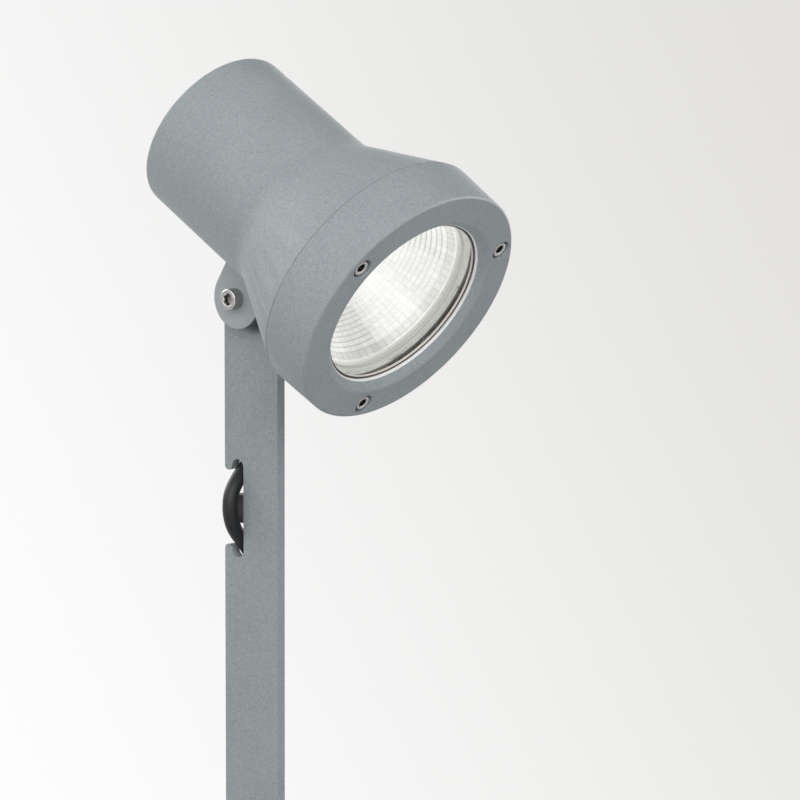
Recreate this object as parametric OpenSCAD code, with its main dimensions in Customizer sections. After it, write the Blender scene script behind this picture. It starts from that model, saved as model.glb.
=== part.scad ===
// Garden spike spotlight: a flat bar that is its own ground spike, and a head that tilts on a clamped bolt.
// The origin is the tip of the spike. +Z is up the bar and +X is the way that the head points.

/* [Stem] */
// Height of the hinge bolt above the tip of the spike
hinge_h = 550; // [450:10:700]
// Width of the flat bar
bar_w = 35; // [32:1:45]
// Thickness of the flat bar
bar_t = 5; // [4:0.5:6]
// Length of the pointed end
point_len = 75; // [50:5:120]
// Width of the blunt tip
tip_w = 5; // [3:1:10]
// Radius of the bar's rounded top end, about the hinge bolt
bar_top_r = 14; // [12:0.5:14.5]
// How far under the hinge bolt the bar reaches its full width
shoulder_drop = 14; // [13:1:30]

/* [Cable slot] */
// Depth of the slot's upper end under the hinge bolt
slot_drop = 79.7; // [65:0.1:120]
// Height of the slot
slot_h = 48.4; // [44:0.1:60]
// Width of the slot
slot_w = 7.7; // [7.7:0.1:9]
// Width of the hooks left beside the slot
hook_w = 4.7; // [4:0.1:6]
// Height from the slot's end to the tip of its hook
hook_len = 5.9; // [5.5:0.1:8]
// Height of the tongue across the middle of the slot
tongue_h = 13.7; // [10:0.1:18]
// Radius of the tongue's corners
tongue_r = 2; // [1:0.1:3]

/* [Hinge] */
// Diameter of the hinge bolt
bolt_d = 6; // [5:1:8]
// Length of the hinge bolt under its head
bolt_len = 25; // [24:1:35]
// Diameter of the hinge bolt's head
bolt_head_d = 10; // [9:0.5:13]
// Height of the hinge bolt's head
bolt_head_h = 6; // [5:0.5:8]
// Width of the hinge bolt's hexagon socket across its flats
bolt_key = 5; // [4:1:6]
// Outer diameter of the washer behind the bar
washer_d = 12; // [11:0.5:16]
// Thickness of the washer
washer_t = 1.6; // [1:0.1:2]
// Width of the nut across its flats
nut_key = 10; // [9:1:12]
// Height of the nut
nut_h = 6; // [5:0.5:7]
// Thickness of the lug under the head
lug_t = 10; // [8:0.5:12]
// Radius of the lug's round end
lug_r = 14.5; // [13:0.5:16]
// Tilt of the head under the horizontal, as photographed
head_tilt = 31.4; // [0:0.1:60]

/* [Head] */
// Radius of the rear cylinder
body_r = 42; // [41:0.5:42]
// Distance from the hinge bolt up to the underside of the rear cylinder
lug_rise = 15.5; // [15.5:0.5:23]
// Distance from the hinge bolt back to the rear face
rear_len = 56.5; // [50:0.5:70]
// Radius of the rear face's edge
rear_edge_r = 2; // [1:0.5:3]
// Distance from the hinge bolt forward to where the cone starts
cone_start = 15.6; // [14:0.2:18]
// Distance from the hinge bolt forward to the line between housing and bezel
part_line = 62; // [60:0.5:65]
// Radius of the blend between the cylinder and the cone
blend_r = 25; // [15:1:30]
// Thickness of the cast wall
wall = 4; // [3:0.5:4]
// Width of the groove that marks the line between housing and bezel
line_groove = 0.3; // [0.2:0.1:0.8]

/* [Bezel and glass] */
// Length of the bezel
bezel_len = 26; // [25:0.5:30]
// Radius of the bezel at the parting line
bezel_back_r = 63; // [62:0.5:66]
// Radius of the bezel at its front face
bezel_front_r = 62; // [60.5:0.5:62]
// Radius of the bezel's front edge
bezel_edge_r = 1.2; // [0.6:0.1:1.5]
// Radius where the flat front face turns into the inner chamfer
mouth_r = 47.5; // [47:0.5:49]
// Radius of the clear opening
opening_r = 43.4; // [42.8:0.2:44.4]
// Thickness of the bezel's lip over the glass
lip_t = 1.2; // [0.6:0.1:1.2]
// Softening of the mouth's edge
mouth_edge_r = 2; // [1:0.5:3]
// Radius of the front glass
glass_r = 47; // [46:0.5:47.3]
// Thickness of the front glass
glass_t = 4; // [3:0.5:4]
// Thickness of the seal over the faces of the glass
seal_t = 1.2; // [0.8:0.1:1.4]
// Radius of the seal's front edge, seen inside the opening
seal_front_r = 42.4; // [41:0.1:43]
// Number of bezel screws
screw_count = 3; // [3:1:4]
// Radius of the circle of bezel screws
screw_circle_r = 55; // [54.6:0.1:55]
// Diameter of the bezel screws
screw_d = 5; // [4:1:5]
// Length of the bezel screws under their heads
screw_len = 25; // [22:1:25]
// Diameter of the bezel screws' heads
screw_head_d = 8.5; // [7:0.5:8.5]
// Height of the bezel screws' heads
screw_head_h = 5; // [4:0.5:5]
// Diameter of the recess round each screw head
recess_d = 10; // [9.5:0.5:10]
// Depth of the screw recesses
recess_depth = 5.8; // [5.5:0.1:6]
// Width of the bezel screws' hexagon sockets across the flats
screw_key = 4; // [3:1:4]

/* [Reflector and lamp] */
// Radius of the reflector's mouth
reflector_r = 41; // [40:0.5:42]
// Radius of the reflector's neck
neck_r = 11; // [10:0.5:12]
// Thickness of the reflector
reflector_t = 1.2; // [0.8:0.1:1.2]
// Thickness of the reflector's flange
flange_t = 1.2; // [1:0.1:1.6]
// Distance from the hinge bolt forward to the front face of the heat spreader
lamp_seat = 19; // [18:0.5:20]
// Thickness of the heat spreader
spreader_t = 5; // [4:0.5:6]
// Side of the square lamp board
board_w = 24; // [20:1:26]
// Thickness of the lamp board
board_t = 1.5; // [1:0.1:2]
// Radius of the light-giving disc on the board
disc_r = 8.5; // [7:0.5:9]
// Thickness of the light-giving disc
disc_t = 0.4; // [0.3:0.1:0.6]
// Thickness of the heat pad under the board
pad_t = 0.5; // [0.3:0.1:0.8]
// Radius of the lamp holder
holder_r = 22; // [20:0.5:24]
// Height of the lamp holder
holder_h = 5; // [4.5:0.1:6]
// Distance from the lamp holder's centre to its screws
holder_screw_r = 17.5; // [17:0.5:18]
// Diameter of the small screws of the holder, tray and driver
small_screw_d = 3; // [2.5:0.5:3]
// Length of the lamp holder's screws under their heads
holder_screw_len = 6; // [5:0.5:6]
// Diameter of the small screws' heads
small_head_d = 5.5; // [5:0.5:6]
// Height of the small screws' heads
small_head_h = 2; // [1.6:0.1:2.4]
// Diameter of the heat spreader's screws
plate_screw_d = 4; // [3:0.5:4]
// Length of the heat spreader's screws under their heads
plate_screw_len = 14; // [10:1:16]
// Diameter of the heat spreader screws' heads
plate_head_d = 7; // [6:0.5:7.5]
// Height of the heat spreader screws' heads
plate_head_h = 2.4; // [2:0.1:3]
// Distance from the inside of the wall to the circle of heat spreader screws
plate_screw_inset = 5; // [5:0.5:6]
// Radius of the bosses that carry the heat spreader
boss_r = 4.5; // [4:0.5:5]

/* [Driver] */
// Length of the lamp driver
driver_len = 46; // [38:1:47]
// Width of the lamp driver
driver_w = 40; // [34:1:42]
// Height of the lamp driver
driver_h = 21; // [18:1:24]
// Length of each fixing ear on the driver
ear_len = 7; // [7:0.5:8]
// Thickness of the driver's ears
ear_t = 2; // [1.5:0.5:3]
// Thickness of the sheet-metal tray
tray_t = 1.5; // [1:0.1:2]
// Width of the tray
tray_w = 46; // [42:1:50]
// Length of the tray's screws under their heads
tray_screw_len = 5; // [4:0.5:5]
// Length of the driver's screws under their heads
driver_screw_len = 4; // [3:0.5:5]
// Height of the tray's upturned end
tray_end_h = 12; // [10:1:14]
// Length of the terminal block
block_len = 26; // [22:1:30]
// Width of the terminal block
block_w = 18; // [14:1:22]
// Height of the terminal block
block_h = 13; // [10:1:15]

/* [Gland] */
// Distance that the gland lies behind the hinge bolt
gland_back = 12; // [10:1:16]
// Distance that the gland lies to the side of the head's middle
gland_side = 26.5; // [26:0.5:28]
// Radius of the cast boss under the gland
gland_boss_r = 11; // [10:0.5:12]
// Height of the boss where it stands out of the rear cylinder
gland_boss_h = 0.96; // [0.5:0.02:1.5]
// Diameter of the gland's thread
gland_d = 14; // [13:0.5:14]
// Length of the gland's thread in the wall
gland_thread_len = 9; // [7:0.5:10]
// Width of the gland's hexagons across their flats
gland_key = 17; // [17:0.5:18]
// Height of the gland's fixed hexagon
gland_hex_h = 4; // [3:0.5:5]
// Height of the gland's cap nut
gland_cap_h = 11; // [10:0.5:12]
// Thickness of the flat gasket under the gland's hexagon
gland_gasket_t = 1; // [0.8:0.1:1.5]
// Length of cable sheath left inside the head
sheath_inside = 4; // [2:0.5:8]

/* [Cable] */
// Diameter of the rubber cable
cable_d = 7.5; // [7:0.1:7.6]
// Number of turns in the spare coil
coil_turns = 5.5; // [4.5:1:6.5]
// Radius of the coil's outer turn
coil_r = 49; // [47:1:60]
// Gap left between neighbouring turns
turn_gap = 0.6; // [0.5:0.1:1.5]

/* [Plug] */
// Radius of the plug's face
plug_r = 19; // [18:0.5:20]
// Length of the plug's body with its bend relief
plug_len = 52; // [48:1:60]
// Length of the bend relief
relief_len = 20; // [16:1:24]
// Diameter of each plug pin
pin_d = 4.8; // [4:0.1:4.8]
// Length of each plug pin
pin_len = 19; // [17:0.5:19]
// Distance between the two pins
pin_gap = 19; // [18:0.5:19]

/* [Fits] */
// Radial clearance of a bolt or screw in its hole
run_clear = 0.05; // [0.03:0.01:0.1]
// Gap between flat faces that slide on each other
face_gap = 0.05; // [0.02:0.01:0.1]
// Clearance round a piece that is set into a pocket
set_clear = 0.2; // [0.1:0.05:0.4]

/* [Hidden] */
$fn = 72;
over = 1;
chamfer = 0.5;
seal_web = 2;
seal_lap = 3.6;
small_key = 2;
plate_key = 2.5;
spigot_wall = 2.6;
flange_rise = 9.5;
cavity_step = 16.5;
cavity_wide_start = 36;
cavity_wide_end = 58;
boss_len = 12;
boss_shift = 1;
tray_gap = 2;
driver_inset = 1;
block_inset = 8;
tray_rise = 3;
gland_lip_t = 2;
lead_gap = 4;
lead_hole_r = 3;
lead_start_side = 14;
wire_hole_depth = 8;
pin_root = 9.5;
pin_root_r = 2;
clip_w = 5.8;
clip_t = 1;
clip_depth = 4;
relief_share = 1.35;
neck_share = 1.7;
shoulder_share = 0.78;
waist_share = 0.74;
shoulder_place_share = 1.4;
spreader_screw_start = 30;
screw_start = 1;
plate_screws = 3;

// Places across the hinge, along Y from the middle of the bar
lug_back = -bar_t / 2 - face_gap;
head_y = lug_back - lug_t / 2;
bolt_seat = lug_back - lug_t - face_gap;
washer_seat = bar_t / 2;

// Places along the head's axis, forward of the hinge bolt
front_face = part_line + bezel_len;
lip_front = front_face - (mouth_r - opening_r);
lip_back = lip_front - lip_t;
seal_back = lip_back - 2 * seal_t - glass_t;
spigot_end = seal_back;
bore_r = glass_r + seal_web;
spigot_r = bore_r - set_clear;
spigot_bore_r = spigot_r - spigot_wall;
flange_back = part_line + flange_rise;
ledge_r = reflector_r + reflector_t + set_clear;
flange_r = spigot_bore_r - set_clear;
head_rise = body_r + lug_rise;
cavity_r = body_r - wall;
plate_screw_circle_r = cavity_r - plate_screw_inset;
lead_hole_side = tray_w / 2 + lead_gap;
gland_face = head_rise - sqrt(pow(body_r, 2) - pow(gland_side - gland_boss_r, 2)) - gland_boss_h;
cavity_front_r = bezel_back_r - cavity_step;
spreader_back = lamp_seat - spreader_t;
boss_back = spreader_back - boss_len;
holder_front = lamp_seat + holder_h;
board_back = lamp_seat + pad_t;
board_front = board_back + board_t;

// Places across the head, from its axis
tray_top = tray_rise;
tray_front = spreader_back;
tray_back = -rear_len + wall + tray_gap;
driver_back = tray_back + driver_inset;
driver_front = driver_back + driver_len;
block_back = tray_back + block_inset;

// Radii and spacings of the round pieces
bolt_r = bolt_d / 2;
screw_r = screw_d / 2;
small_r = small_screw_d / 2;
plate_screw_r = plate_screw_d / 2;
cable_r = cable_d / 2;
gland_stub_r = gland_d / 2;
key_depth_share = 0.55;
wire_r = 1.1;
wire_sides = 8;
wire_gap = 2.7;
wire_bend = 4;
wire_bend_steps = 5;
bend_share = 0.48;
wire_level = [0, 0.6, 0.8];
lead_offset = [0, wire_r, wire_r];

// One turn of the coil and the step to its upper layer
turn_step = cable_d + turn_gap;
coil_mid_turn = coil_turns / 2;
climb_turns = 0.5;
coil_layer_h = cable_d + turn_gap;
coil_rings_per_turn = 24;
coil_sides = 6;
tube_sides = 10;
route_steps = 2;

// Where the coil and the plug lie on the surface under the spike
coil_x = 29;
coil_y = 100;
plug_x = 78;
plug_y = 34;

// Route of the cable down the back of the bar, through its slot and on to the coil
upper_route = [
    [-15, 18.7, 547], [-16.6, 18.2, 540], [-17, 17.2, 531], [-16, 15.8, 520],
    [-14, 14.2, 508], [-11.6, 12.6, 496]
];
lower_route = [
    [-10.8, 11.9, 486], [-10, 11, 478.5], [-9.2, 8, 471], [-9, 2.6, 465], [-8.95, -3.1, 459.6],
    [-8.8, -7.1, 453.6], [-8.3, -8.5, 446.5], [-8.1, -7.3, 440], [-8.8, -3.4, 434.4],
    [-9, 2.4, 428.4], [-9.5, 7.4, 421.6], [-9.8, 10, 412], [-9.2, 11, 396], [-9, 11, 370],
    [-9, 11, 335], [-9, 11, 295], [-9, 11, 255], [-9, 11, 215], [-9, 11, 175],
    [-9, 11.3, 135], [-9.3, 12.4, 100], [-10, 15.5, 70], [-11.6, 23, 46], [-13.6, 36, 27],
    [-15.6, 50, 15], [-17.6, 62, 8.6], [-19, 71, 4.5]
];
tail_route = [
    [77.6, 79, 12.3], [77.2, 69, 13.6], [77.2, 59, 15.6], [77.6, 50, 17.8]
];

// Point of the head's own frame in the frame of the stem, at rest
function head_point(v) = [
    v[0] * cos(head_tilt) + v[2] * sin(head_tilt),
    head_y + v[1],
    hinge_h - v[0] * sin(head_tilt) + v[2] * cos(head_tilt)
];
gland_len = gland_gasket_t + gland_hex_h + gland_cap_h;
gland_exit = gland_face - gland_len - face_gap;
cable_start = head_point([-gland_back, gland_side, gland_exit]);
cable_way = [-sin(head_tilt), 0, -cos(head_tilt)];
coil_start = [coil_x - coil_r, coil_y, cable_r];
coil_lead = [0, cable_d, 0];
plug_entry = [plug_x, plug_y, plug_r];
rim_start = plug_len - relief_len / 2;

// Points on an arc, from one angle to the other
function arc(centre, r, from, to, steps) = [
    for (i = [0:steps])
    let (a = from + (to - from) * i / steps)
    centre + r * [cos(a), sin(a)]
];

// Swept tubes
function unit(v) = v / norm(v);
function between(a, b, c, d, t) = (
    2 * b + (c - a) * t + (2 * a - 5 * b + 4 * c - d) * t * t + (3 * b - a - 3 * c + d) * t * t * t
) / 2;
function smooth(points, steps) = let (last = len(points) - 1) concat(
    [
        for (i = [0:last - 1])
        for (s = [0:steps - 1])
        between(points[max(i - 1, 0)], points[i], points[i + 1], points[min(i + 2, last)], s / steps)
    ],
    [points[last]]
);
function heading(path, i) = unit(path[min(i + 1, len(path) - 1)] - path[max(i - 1, 0)]);
function ring_at(path, i, r, sides, level) = let (
    t = heading(path, i),
    u = unit(cross(level, t)),
    v = cross(t, u)
) [for (k = [0:sides - 1]) path[i] + r * (cos(360 * k / sides) * u + sin(360 * k / sides) * v)];
function path_len(path, i = 1) = i == len(path) ? 0 : norm(path[i] - path[i - 1]) + path_len(path, i + 1);

module swept(path, r, sides, level, from = 0, to = undef) {
    end = is_undef(to) ? len(path) - 1 : to;
    rings = end - from + 1;
    last = (rings - 1) * sides;
    points = [for (i = [from:end]) each ring_at(path, i, r, sides, level)];
    skin = [
        for (i = [0:rings - 2])
        for (k = [0:sides - 1])
        let (a = i * sides + k, b = i * sides + (k + 1) % sides)
        each [[a, a + sides, b], [b, a + sides, b + sides]]
    ];
    first_cap = [for (k = [1:sides - 2]) [0, k, k + 1]];
    last_cap = [for (k = [1:sides - 2]) [last, last + k + 1, last + k]];
    polyhedron(points = points, faces = concat(first_cap, skin, last_cap));
}

// The cable's whole route down to the coil, cut where it goes behind the bar
cable_route = smooth(
    concat(
        [cable_start, cable_start + cable_r * cable_way, cable_start + cable_d * cable_way],
        upper_route, lower_route,
        [coil_start - 3 * coil_lead, coil_start - 2 * coil_lead, coil_start - coil_lead]
    ),
    route_steps
);
cable_cut = route_steps * (3 + len(upper_route));

// The coil: in along the lower layer, up in the half turn in the middle, and out along the upper layer
function ease(t) = let (s = min(max(t, 0), 1)) s * s * (3 - 2 * s);
function coil_turn_r(turn) = coil_r - turn_step * (coil_mid_turn - abs(turn - coil_mid_turn));
function coil_turn_z(turn) = cable_r + coil_layer_h * ease((turn - coil_mid_turn) / climb_turns + 0.5);
function coil_point(turn) = [
    coil_x + coil_turn_r(turn) * cos(180 - 360 * turn),
    coil_y + coil_turn_r(turn) * sin(180 - 360 * turn),
    coil_turn_z(turn)
];
coil_rings = coil_turns * coil_rings_per_turn;
coil_bends = [for (i = [0:coil_rings]) coil_point(i / coil_rings_per_turn)];
coil_end = coil_bends[len(coil_bends) - 1];
coil_path = concat([coil_start - coil_lead], coil_bends, [coil_end - coil_lead]);
tail_path = smooth(
    concat(
        [coil_end - coil_lead, coil_end - 1.5 * coil_lead, coil_end - 2 * coil_lead], tail_route,
        [plug_entry + coil_lead, plug_entry + coil_lead / 2, plug_entry]
    ),
    1
);

// Least gap between turns that don't follow each other, and the cable's length
apart = coil_rings_per_turn / 2;
coil_gap = min([
    for (i = [0:len(coil_bends) - 1])
    for (k = [i + apart:1:len(coil_bends) - 1])
    norm(coil_bends[i] - coil_bends[k])
]) - cable_d;
echo(least_gap_in_the_coil = coil_gap);
echo(cable_length = path_len(cable_route) + path_len(coil_path) + path_len(tail_path));
echo(coil_length = path_len(coil_path), tail_length = path_len(tail_path));

// Shared shapes
module on_head() {
    translate([0, head_y, hinge_h]) rotate([0, head_tilt, 0]) children();
}

module along_head() {
    on_head() translate([0, 0, head_rise]) rotate([0, 90, 0]) children();
}

module ring(r_in, r_out, from, to) {
    translate([0, 0, from]) difference() {
        cylinder(r = r_out, h = to - from);
        translate([0, 0, -over]) cylinder(r = r_in, h = to - from + 2 * over);
    }
}

module hexagon(key, h) {
    cylinder(r = key / sqrt(3), h = h, $fn = 6);
}

// Socket screw with its head's underside at zero and its shank along -Z
module socket_screw(r, len, head_r, head_h, key) {
    difference() {
        union() {
            translate([0, 0, -len]) cylinder(r = r, h = len + over / 2);
            rotate_extrude() polygon([
                [0, 0], [head_r, 0], [head_r, head_h - chamfer], [head_r - chamfer, head_h], [0, head_h]
            ]);
        }
        translate([0, 0, head_h * (1 - key_depth_share)]) hexagon(key, head_h);
    }
}

module round_screw_places(count, r, start) {
    for (i = [0:count - 1]) rotate([0, 0, start + 360 * i / count]) translate([r, 0, 0]) children();
}

// Stem
module bar_outline() {
    half = bar_w / 2;
    polygon([
        [-tip_w / 2, 0], [tip_w / 2, 0], [half, point_len], [half, hinge_h - shoulder_drop],
        [bar_top_r, hinge_h], [-bar_top_r, hinge_h], [-half, hinge_h - shoulder_drop], [-half, point_len]
    ]);
    translate([0, hinge_h]) circle(r = bar_top_r);
}

module cable_slot() {
    slot_r = slot_w / 2;
    slot_x = -bar_w / 2 + hook_w + slot_r;
    slot_top = hinge_h - slot_drop;
    slot_bottom = slot_top - slot_h;
    hook_r = hook_w / 2;
    mouth_top = slot_top - hook_len + hook_r;
    mouth_bottom = slot_bottom + hook_len - hook_r;
    difference() {
        union() {
            translate([slot_x, slot_top - slot_r]) circle(r = slot_r);
            translate([slot_x, slot_bottom + slot_r]) circle(r = slot_r);
            translate([slot_x - slot_r, slot_bottom + slot_r]) square([slot_w, slot_h - slot_w]);
            translate([-bar_w / 2 - over, mouth_bottom])
                square([hook_w + slot_r + over, mouth_top - mouth_bottom]);
        }
        translate([-bar_w / 2 + hook_r, mouth_top]) circle(r = hook_r);
        translate([-bar_w / 2 + hook_r, mouth_bottom]) circle(r = hook_r);
        tongue(slot_x, (slot_top + slot_bottom) / 2);
    }
}

module tongue(x, z) {
    reach = slot_w / 2;
    translate([x - reach + tongue_r, z - tongue_h / 2]) square([slot_w, tongue_h]);
    translate([x - reach, z - tongue_h / 2 + tongue_r]) square([slot_w, tongue_h - 2 * tongue_r]);
    for (side = [-1, 1]) {
        translate([x - reach + tongue_r, z + side * (tongue_h / 2 - tongue_r)]) circle(r = tongue_r);
    }
}

module stem() {
    color("slategray") translate([0, bar_t / 2, 0]) rotate([90, 0, 0]) linear_extrude(bar_t)
        difference() {
            bar_outline();
            cable_slot();
            translate([0, hinge_h]) circle(r = bolt_r + run_clear);
        }
}

// Hinge hardware
module hinge_bolt() {
    color("silver") translate([0, bolt_seat, hinge_h]) rotate([90, 0, 0])
        socket_screw(bolt_r, bolt_len, bolt_head_d / 2, bolt_head_h, bolt_key);
}

module hinge_washer() {
    color("silver") translate([0, washer_seat, hinge_h]) rotate([-90, 0, 0])
        ring(bolt_r + set_clear, washer_d / 2, 0, washer_t);
}

module hinge_nut() {
    color("silver") translate([0, washer_seat + washer_t, hinge_h]) rotate([-90, 0, 0]) difference() {
        hexagon(nut_key, nut_h);
        translate([0, 0, -over]) cylinder(r = bolt_r + run_clear, h = nut_h + 2 * over);
    }
}

// Housing
cone_slope = atan((bezel_back_r - body_r) / (part_line - cone_start));
blend_reach = blend_r * tan(cone_slope / 2);

module housing_outline() {
    polygon(concat(
        [[0, -rear_len]],
        arc([body_r - rear_edge_r, -rear_len + rear_edge_r], rear_edge_r, -90, 0, 6),
        arc([body_r + blend_r, cone_start - blend_reach], blend_r, 180, 180 - cone_slope, 8),
        [[bezel_back_r, part_line - line_groove], [bezel_back_r - line_groove, part_line]],
        [[spigot_r, part_line], [spigot_r, spigot_end], [0, spigot_end]]
    ));
}

module housing_cavity() {
    rotate_extrude() polygon([
        [0, -rear_len + wall], [cavity_r, -rear_len + wall], [cavity_r, lamp_seat + over],
        [cavity_front_r, cavity_wide_start], [cavity_front_r, cavity_wide_end],
        [ledge_r, part_line], [ledge_r, flange_back], [spigot_bore_r, flange_back],
        [spigot_bore_r, spigot_end + over], [0, spigot_end + over]
    ]);
}

module housing() {
    color("slategray") difference() {
        union() {
            along_head() difference() {
                rotate_extrude() housing_outline();
                housing_cavity();
            }
            along_head() plate_screw_places() translate([boss_shift, 0, boss_back])
                cylinder(r = boss_r, h = spreader_back - boss_back);
            on_head() lug();
            on_head() gland_boss();
        }
        on_head() rotate([90, 0, 0]) translate([0, 0, -lug_t])
            cylinder(r = bolt_r + run_clear, h = 2 * lug_t);
        at_gland() translate([0, 0, -cavity_r]) cylinder(r = gland_d / 2 + run_clear, h = cavity_r + over);
        along_head() round_screw_places(screw_count, screw_circle_r, screw_start) screw_hole();
        along_head() plate_screw_places() translate([0, 0, lamp_seat - plate_screw_len - set_clear])
            cylinder(r = plate_screw_r + run_clear, h = plate_screw_len);
    }
}

module plate_screw_places() {
    round_screw_places(plate_screws, plate_screw_circle_r, spreader_screw_start) children();
}

module lug() {
    translate([0, lug_t / 2, 0]) rotate([90, 0, 0]) linear_extrude(lug_t) {
        circle(r = lug_r);
        translate([-lug_r, 0]) square([2 * lug_r, head_rise - body_r + wall / 2]);
    }
}

module gland_boss() {
    reach = head_rise - gland_face;
    difference() {
        translate([-gland_back, gland_side, gland_face])
            cylinder(r = gland_boss_r, h = reach / 2 + over);
        translate([0, 0, head_rise]) rotate([0, 90, 0])
            translate([0, 0, -rear_len]) cylinder(r = cavity_r + wall / 2, h = rear_len + cone_start);
    }
}

module screw_hole() {
    tip = front_face - recess_depth - screw_len;
    translate([0, 0, tip - over]) cylinder(r = screw_r + run_clear, h = part_line - tip + 2 * over);
}

// Bezel
module bezel_outline() {
    lean = atan((bezel_back_r - bezel_front_r) / bezel_len);
    edge = [bezel_front_r - bezel_edge_r, front_face - bezel_edge_r];
    soft = mouth_edge_r * tan(22.5);
    polygon(concat(
        [[bore_r, part_line], [bezel_back_r - line_groove, part_line]],
        [[bezel_back_r, part_line + line_groove]],
        arc(edge, bezel_edge_r, lean, 90, 6),
        arc([mouth_r + soft, front_face - mouth_edge_r], mouth_edge_r, 90, 135, 5),
        [[opening_r, lip_front], [opening_r, lip_back], [bore_r, lip_back]]
    ));
}

module bezel() {
    color("slategray") along_head() difference() {
        rotate_extrude() bezel_outline();
        round_screw_places(screw_count, screw_circle_r, screw_start) {
            translate([0, 0, part_line - over])
                cylinder(r = screw_r + set_clear, h = bezel_len + 2 * over);
            translate([0, 0, front_face - recess_depth])
                cylinder(r = recess_d / 2, h = recess_depth + over);
        }
    }
}

module bezel_screws() {
    color("silver") along_head() round_screw_places(screw_count, screw_circle_r, screw_start)
        translate([0, 0, front_face - recess_depth])
        socket_screw(screw_r, screw_len, screw_head_d / 2, screw_head_h, screw_key);
}

module front_glass() {
    color("lightcyan", 0.4) along_head() translate([0, 0, seal_back + seal_t])
        cylinder(r = glass_r, h = glass_t);
}

module glass_seal() {
    outer_r = bore_r - set_clear;
    color("wheat") along_head() rotate_extrude() polygon([
        [spigot_bore_r - seal_lap, seal_back], [outer_r, seal_back], [outer_r, lip_back],
        [seal_front_r, lip_back], [seal_front_r, lip_back - seal_t],
        [glass_r + face_gap, lip_back - seal_t], [glass_r + face_gap, seal_back + seal_t],
        [spigot_bore_r - seal_lap, seal_back + seal_t]
    ]);
}

// Reflector: a parabola from the neck at the lamp holder to the mouth behind the glass
mouth_l = flange_back + flange_t;
bowl_focus = (reflector_r * reflector_r - neck_r * neck_r) / (4 * (mouth_l - holder_front));
function bowl_l(r) = holder_front + (r * r - neck_r * neck_r) / (4 * bowl_focus);
bowl_steps = 16;
function bowl_r(i) = neck_r + (reflector_r - neck_r) * i / bowl_steps;

module reflector() {
    inner = [for (i = [0:bowl_steps]) [bowl_r(i), bowl_l(bowl_r(i))]];
    outer = [for (i = [bowl_steps - 1:-1:0]) [bowl_r(i) + reflector_t, bowl_l(bowl_r(i))]];
    color("whitesmoke") along_head() rotate_extrude() polygon(concat(
        inner,
        [[flange_r, mouth_l], [flange_r, flange_back], [reflector_r + reflector_t, flange_back]],
        outer
    ));
}

module reflector_collar() {
    color("gainsboro") along_head() ring(reflector_r + set_clear, flange_r, mouth_l, seal_back);
}

// Lamp
module heat_pad() {
    color("lightpink") along_head() translate([-board_w / 2, -board_w / 2, lamp_seat])
        cube([board_w, board_w, pad_t]);
}

module lamp_board() {
    color("white") along_head() translate([-board_w / 2, -board_w / 2, board_back])
        cube([board_w, board_w, board_t]);
    color("gold") along_head() translate([0, 0, board_front]) cylinder(r = disc_r, h = disc_t);
}

module lamp_holder() {
    pocket = board_w + 2 * set_clear;
    color("white") along_head() difference() {
        translate([0, 0, lamp_seat]) cylinder(r = holder_r, h = holder_h);
        translate([-pocket / 2, -pocket / 2, lamp_seat - over])
            cube([pocket, pocket, board_front - lamp_seat + over]);
        translate([0, 0, lamp_seat]) cylinder(r = neck_r - set_clear, h = holder_h + over);
        holder_screw_places() {
            translate([0, 0, lamp_seat - over])
                cylinder(r = small_r + run_clear, h = holder_h + 2 * over);
            translate([0, 0, holder_front - small_head_h])
                cylinder(r = small_head_d / 2 + set_clear, h = holder_h);
        }
    }
}

module holder_screw_places() {
    round_screw_places(2, holder_screw_r, 0) children();
}

module small_screw(len) {
    socket_screw(small_r, len, small_head_d / 2, small_head_h, small_key);
}

module holder_screws() {
    color("silver") along_head() holder_screw_places() translate([0, 0, holder_front - small_head_h])
        small_screw(holder_screw_len);
}

module heat_spreader() {
    color("silver") along_head() difference() {
        translate([0, 0, spreader_back]) cylinder(r = cavity_r - set_clear, h = spreader_t);
        plate_screw_places() translate([0, 0, spreader_back - over])
            cylinder(r = plate_screw_r + set_clear, h = spreader_t + 2 * over);
        holder_screw_places() translate([0, 0, holder_front - small_head_h - holder_screw_len - set_clear])
            cylinder(r = small_r + run_clear, h = spreader_t);
        tray_screw_places() translate([0, 0, spreader_back - over])
            cylinder(r = small_r + run_clear, h = tray_screw_len - tray_t + set_clear + over);
        translate([0, lead_hole_side, spreader_back - over])
            cylinder(r = lead_hole_r, h = spreader_t + 2 * over);
    }
}

module spreader_screws() {
    color("silver") along_head() plate_screw_places() translate([0, 0, lamp_seat])
        socket_screw(plate_screw_r, plate_screw_len, plate_head_d / 2, plate_head_h, plate_key);
}

// Driver on its tray behind the heat spreader
module tray_screw_places() {
    for (side = [-1, 1])
        translate([tray_end_h / 2 - tray_top + tray_t, side * tray_w / 3, 0]) children();
}

module driver_tray() {
    color("silver") on_head() translate([0, 0, head_rise]) difference() {
        union() {
            translate([tray_back, -tray_w / 2, tray_top - tray_t])
                cube([tray_front - tray_back, tray_w, tray_t]);
            translate([tray_front - tray_t, -tray_w / 2, tray_top - tray_end_h])
                cube([tray_t, tray_w, tray_end_h]);
        }
        rotate([0, 90, 0]) tray_screw_places() translate([0, 0, tray_front - tray_t - over])
            cylinder(r = small_r + set_clear, h = tray_t + 2 * over);
        driver_screw_places() translate([0, 0, tray_top - tray_t - over])
            cylinder(r = small_r + run_clear, h = tray_t + 2 * over);
    }
}

module tray_screws() {
    color("silver") on_head() translate([0, 0, head_rise]) rotate([0, 90, 0]) tray_screw_places()
        translate([0, 0, tray_front - tray_t]) rotate([180, 0, 0])
        small_screw(tray_screw_len);
}

module driver_screw_places() {
    for (end = [driver_back + ear_len / 2, driver_front - ear_len / 2])
        translate([end, 0, 0]) children();
}

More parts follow.
